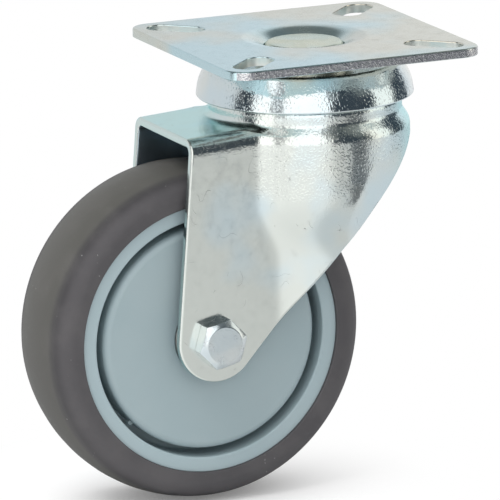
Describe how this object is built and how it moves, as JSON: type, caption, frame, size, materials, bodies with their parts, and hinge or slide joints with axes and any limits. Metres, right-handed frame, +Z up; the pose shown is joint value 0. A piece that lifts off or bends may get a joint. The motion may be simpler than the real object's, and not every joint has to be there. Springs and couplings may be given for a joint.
{
  "type": "swivel castor",
  "caption": "Small plate-mounted swivel castor: pressed zinc-plated fork on a double ball race, soft grey tyre on a plastic wheel, hexagon axle bolt.",
  "frame": {"origin": "centre of the top plate's mounting face, on the swivel axis", "axes": "+Z up along the swivel axis, out of the mounting face; the wheel trails towards -X; the axle lies along Y"},
  "size_m": [0.0963, 0.06, 0.1],
  "materials": {
    "zinc_plate": "bright zinc plated sheet",
    "zinc": "bright zinc plated pressing",
    "bolt": "zinc plated fastener",
    "steel_ball": "polished bearing steel",
    "tyre": "matt grey-brown thermoplastic rubber",
    "wheel_plastic": "satin blue-grey polypropylene",
    "cap_plastic": "satin blue-grey polypropylene",
    "nylon": "natural nylon"
  },
  "bodies": {
    "plate": {"top_plate": "zinc_plate", "race_cup": "zinc", "kingpin": "zinc", "lower_race": "zinc"},
    "upper_ball_ring": {"upper_balls": "steel_ball"},
    "lower_ball_ring": {"lower_balls": "steel_ball"},
    "fork": {"fork": "zinc", "axle_bolt": "bolt", "lock_nut": "bolt", "nut_ring": "nylon", "nut_washer": "bolt", "axle_tube": "bolt", "near_spacer": "bolt", "far_spacer": "bolt"},
    "wheel": {"tyre": "tyre", "wheel_centre": "wheel_plastic", "near_cap": "cap_plastic", "far_cap": "cap_plastic", "near_bush": "nylon", "far_bush": "nylon"}
  },
  "joints": [
    {"name": "swivel", "type": "hinge", "parent": "plate", "child": "fork", "pos_m": [0, 0, -0.0124], "axis": [0, 0, 1], "continuous": true},
    {"name": "wheel_spin", "type": "hinge", "parent": "fork", "child": "wheel", "pos_m": [-0.0288, 0, -0.0625], "axis": [0, 1, 0], "continuous": true},
    {"name": "upper_balls_roll", "type": "hinge", "parent": "plate", "child": "upper_ball_ring", "pos_m": [0, 0, -0.0092], "axis": [0, 0, 1], "continuous": true},
    {"name": "lower_balls_roll", "type": "hinge", "parent": "plate", "child": "lower_ball_ring", "pos_m": [0, 0, -0.0122], "axis": [0, 0, 1], "continuous": true}
  ],
  "couplings": [
    {"joint": "upper_balls_roll", "follows": "swivel", "ratio": 0.5},
    {"joint": "lower_balls_roll", "follows": "swivel", "ratio": 0.5}
  ]
}
